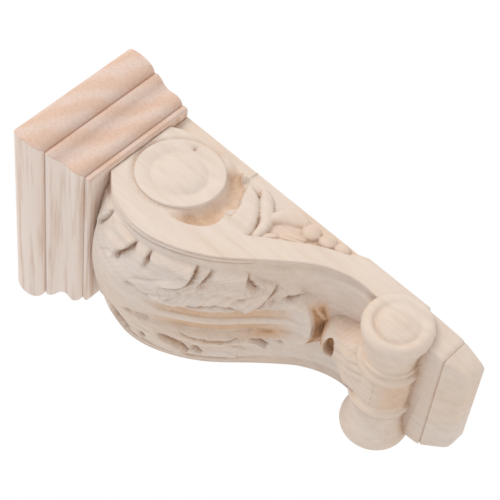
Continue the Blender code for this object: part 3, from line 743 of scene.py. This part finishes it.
class Nodes:
    """Short helper for building a material's nodes."""

    def __init__(self, name):
        self.material = bpy.data.materials.new(name)
        self.material.use_nodes = True
        self.tree = self.material.node_tree
        self.shader = self.tree.nodes["Principled BSDF"]

    def add(self, kind, inputs=None, **settings):
        node = self.tree.nodes.new(kind)
        for key, value in settings.items():
            setattr(node, key, value)
        for key, value in (inputs or {}).items():
            if isinstance(value, bpy.types.NodeSocket):
                self.tree.links.new(value, node.inputs[key])
            else:
                node.inputs[key].default_value = value
        return node

    def place(self, scale):
        """Object coordinates stretched along the grain."""
        where = self.add("ShaderNodeTexCoord")
        ins = {"Vector": where.outputs["Object"], "Scale": scale}
        return self.add("ShaderNodeMapping", ins).outputs["Vector"]

    def attribute(self, name):
        return self.add("ShaderNodeAttribute", attribute_name=name).outputs["Fac"]

    def noise(self, scale, detail, vector):
        ins = {"Vector": vector, "Scale": scale, "Detail": detail, "Roughness": 0.55}
        return self.add("ShaderNodeTexNoise", ins).outputs["Fac"]

    def ramp(self, fac, stops):
        node = self.add("ShaderNodeValToRGB", {"Fac": fac})
        band = node.color_ramp
        while len(band.elements) < len(stops):
            band.elements.new(0.5)
        for element, (at, colour) in zip(band.elements, stops):
            element.position = at
            element.color = (*colour, 1.0)
        return node.outputs["Color"]

    def remap(self, value, low, high, to_low=0.0, to_high=1.0):
        ins = {"Value": value, "From Min": low, "From Max": high, "To Min": to_low, "To Max": to_high}
        return self.add("ShaderNodeMapRange", ins).outputs["Result"]

    def math(self, operation, a, b):
        return self.add("ShaderNodeMath", {0: a, 1: b}, operation=operation).outputs["Value"]

    def mix(self, fac, a, b, blend="MIX"):
        node = self.add("ShaderNodeMix", data_type="RGBA", blend_type=blend)
        for key, value in ((0, fac), (6, a), (7, b)):
            if isinstance(value, bpy.types.NodeSocket):
                self.tree.links.new(value, node.inputs[key])
            else:
                node.inputs[key].default_value = value
        return node.outputs[2]

    def join(self, socket, name):
        self.tree.links.new(socket, self.shader.inputs[name])

    def bump(self, height, strength, distance):
        ins = {"Height": height, "Strength": strength, "Distance": distance}
        self.join(self.add("ShaderNodeBump", ins).outputs["Normal"], "Normal")

    def surface(self, roughness, specular):
        self.shader.inputs["Roughness"].default_value = roughness
        self.shader.inputs["Specular IOR Level"].default_value = specular


def carved_wood():
    """Pale sanded wood with fine cutter marks, browner and rougher where cut and stained, and darkened deep
    in the carving and under the lip as painted shade.
    """
    wood = Nodes("pale_carved_wood")
    hollow, brown_and_shade, comb, phase = (wood.attribute(name) for name in ("hollow", *FINISH))
    grain = wood.noise(6.0, 6.0, wood.place((60.0, 60.0, 6.0)))
    patch = wood.noise(22.0, 3.0, wood.place((1.0, 1.0, 0.6)))
    base = wood.mix(1.0, wood.ramp(grain, GRAIN_RAMP), wood.ramp(patch, PATCH_RAMP), "MULTIPLY")
    wave = wood.math("SINE", wood.math("MULTIPLY", phase, 2.0 * math.pi / COMB_PITCH), 0.0)
    speck = wood.noise(900.0, 2.0, wood.place((1.0, 1.0, 1.0)))
    uneven = wood.remap(speck, 0.35, 0.6, 0.45, 1.0)
    stripes = wood.remap(wood.math("MULTIPLY", wave, comb), -1.0, 1.0, 0.82, 1.0)
    # Brown tint from the mark of cut wood and stain, which also paints shade in the recesses and under the
    # lip
    base = wood.mix(brown_and_shade, base, BROWN_AND_SHADE_TINT, "MULTIPLY")
    # Painted shade: the more enclosed a place is, the darker
    occlusion_shade = wood.remap(hollow, 0.28, 0.75, 0.0, 0.9)
    # The strongest brown, painted shade under the lip and in the scoop together with the stain, also goes
    # dark
    stain_and_shade = wood.remap(brown_and_shade, 0.74, 1.0, 0.0, 1.0)
    deep = wood.math("MULTIPLY", wood.math("MAXIMUM", occlusion_shade, stain_and_shade), uneven)
    base = wood.mix(deep, base, STAIN_AND_SHADE_COLOUR)
    base = wood.mix(1.0, base, wood.ramp(stripes, COMB_RAMP), "MULTIPLY")
    wood.join(base, "Base Color")
    wood.surface(0.72, 0.28)
    relief = wood.math("MULTIPLY", wood.math("MULTIPLY", wave, comb), 0.5)
    rough = wood.math("MULTIPLY", speck, wood.remap(brown_and_shade, 0.0, 1.0, 0.1, 1.2))
    height = wood.math("ADD", wood.math("ADD", relief, wood.math("MULTIPLY", grain, 0.4)), rough)
    wood.bump(height, 0.5, 0.0003)
    return wood.material


def cap_wood():
    """Pinker moulded wood with its grain along X: streaks in front, growth rings on the ends."""
    wood = Nodes("pink_cap_wood")
    normal = wood.add("ShaderNodeTexCoord").outputs["Normal"]
    facing = wood.add("ShaderNodeSeparateXYZ", {0: normal}).outputs["X"]
    end = wood.remap(wood.math("ABSOLUTE", facing, 0.0), 0.1, 0.25)
    long_place = wood.place((0.05, 1.0, 1.0))
    fine = wood.noise(420.0, 5.0, long_place)
    cloud = wood.noise(22.0, 2.0, long_place)
    waves = {
        "Vector": wood.place((0.0, 0.5, 1.0)),
        "Scale": 50.0,
        "Distortion": 5.0,
        "Detail": 3.0,
        "Detail Scale": 1.2,
    }
    rings = wood.add("ShaderNodeTexWave", waves, wave_type="BANDS", bands_direction="DIAGONAL")
    ends = wood.ramp(rings.outputs["Fac"], RING_RAMP)
    front = wood.mix(0.8, wood.ramp(cloud, CLOUD_RAMP), wood.ramp(fine, STREAK_RAMP), "MULTIPLY")
    pores = wood.noise(800.0, 2.0, wood.place((1.0, 1.0, 1.0)))
    across = wood.mix(0.5, ends, wood.ramp(pores, PORE_RAMP), "MULTIPLY")
    # Painted shade: the cap goes darker where it is enclosed, as at its mouldings and next to the scroll
    occlusion_shade = wood.remap(wood.attribute("hollow"), 0.3, 0.8, 0.0, 0.8)
    wood.join(wood.mix(occlusion_shade, wood.mix(end, front, across), CAP_SHADE_COLOUR), "Base Color")
    wood.surface(0.66, 0.3)
    wood.bump(fine, 0.2, 0.0002)
    return wood.material


def plain(name, colour):
    """Matt material of one colour."""
    surface = Nodes(name)
    surface.shader.inputs["Base Color"].default_value = (*colour, 1.0)
    surface.shader.inputs["Roughness"].default_value = 0.8
    return surface.material


def floor():
    """Plain pale floor well below the corbel."""
    mesh = bpy.data.meshes.new("floor")
    turns = ((-1, -1), (1, -1), (1, 1), (-1, 1))
    corners = [(x * FLOOR_HALF, y * FLOOR_HALF, FLOOR_Z) for x, y in turns]
    mesh.from_pydata(corners, [], [(0, 1, 2, 3)])
    obj = bpy.data.objects.new("floor", mesh)
    bpy.context.scene.collection.objects.link(obj)
    mesh.materials.append(plain("pale_floor", FLOOR_COLOUR))


def key_light():
    """Square soft light that looks at the corbel from the side that the camera sees."""
    data = bpy.data.lights.new("key", "AREA")
    data.size = KEY_SIZE
    data.energy = KEY_POWER
    data.color = KEY_COLOUR
    light = bpy.data.objects.new("key", data)
    away = Vector(KEY_SIDE).normalized()
    light.location = away * KEY_DISTANCE
    light.rotation_euler = away.to_track_quat("Z", "Y").to_euler()
    bpy.context.scene.collection.objects.link(light)


def studio():
    """White surroundings with a soft key from the side that the camera sees."""
    world = bpy.data.worlds.new("studio")
    world.use_nodes = True
    nodes = world.node_tree.nodes
    links = world.node_tree.links
    back = nodes["Background"]
    where = nodes.new("ShaderNodeTexCoord")
    facing = nodes.new("ShaderNodeVectorMath")
    facing.operation = "DOT_PRODUCT"
    facing.inputs[1].default_value = Vector(BRIGHT_SIDE).normalized()
    level = nodes.new("ShaderNodeMapRange")
    level.inputs["From Min"].default_value = DIM_FROM
    level.inputs["From Max"].default_value = BRIGHT_FROM
    colour = nodes.new("ShaderNodeMix")
    colour.data_type = "RGBA"
    colour.inputs[6].default_value = DIM_COLOUR
    colour.inputs[7].default_value = BRIGHT_COLOUR
    links.new(where.outputs["Generated"], facing.inputs[0])
    links.new(facing.outputs["Value"], level.inputs["Value"])
    links.new(level.outputs["Result"], colour.inputs[0])
    links.new(colour.outputs[2], back.inputs["Color"])
    bpy.context.scene.world = world
    bpy.context.scene.view_settings.view_transform = "Standard"
    key_light()


def camera():
    """Camera seated where the photograph was taken from."""
    data = bpy.data.cameras.new("camera")
    data.lens = CAMERA_LENS
    data.sensor_width = CAMERA_SENSOR
    data.clip_start = CAMERA_CLIP
    aim = Vector(CAMERA_AIM).normalized()
    right = aim.cross(Vector(CAMERA_UP)).normalized()
    up = right.cross(aim)
    seat = Matrix((right, up, -aim)).transposed().to_4x4()
    seat.translation = Vector(CAMERA_PLACE) * MM
    obj = bpy.data.objects.new("camera", data)
    obj.matrix_world = seat
    bpy.context.scene.collection.objects.link(obj)
    bpy.context.scene.camera = obj


def main():
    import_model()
    camera()
    studio()
    floor()

    body = carved_body()
    block = cap()
    # How enclosed each place is, which the materials darken as painted shade
    mark_hollows((body, block))
    body.data.materials.clear()
    body.data.materials.append(carved_wood())
    block.data.materials.append(cap_wood())
    for piece, node, slot in ((body, "carved_scroll", "pale_wood"), (block, "top_cap", "cap_wood")):
        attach(piece, "root")
        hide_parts(node)


main()
